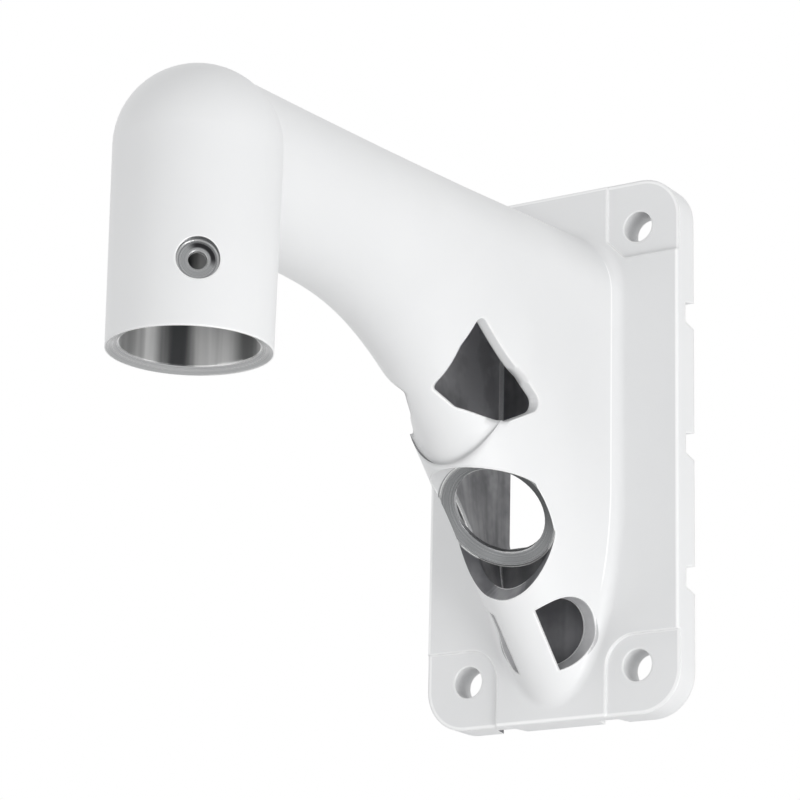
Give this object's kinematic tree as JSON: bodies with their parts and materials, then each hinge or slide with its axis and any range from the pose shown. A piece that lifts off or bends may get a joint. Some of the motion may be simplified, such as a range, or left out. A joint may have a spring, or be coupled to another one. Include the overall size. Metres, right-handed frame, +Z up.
{
  "type": "camera wall bracket",
  "caption": "Cast wall bracket: a screw-on plate and a hollow arm that turns down into a round socket for a hanging camera.",
  "frame": {"origin": "centre of the wall plate's back, in the plane of the wall, which is also the centre of the four screw holes", "axes": "+Z up, +X to the right seen from the room; the arm projects along -Y, and +Y points into the wall"},
  "size_m": [0.094, 0.2362, 0.18],
  "materials": {
    "painted_casting": "smooth white satin paint over an aluminium casting"
  },
  "bodies": {
    "root": {"wall_bracket": "painted_casting"}
  },
  "joints": []
}
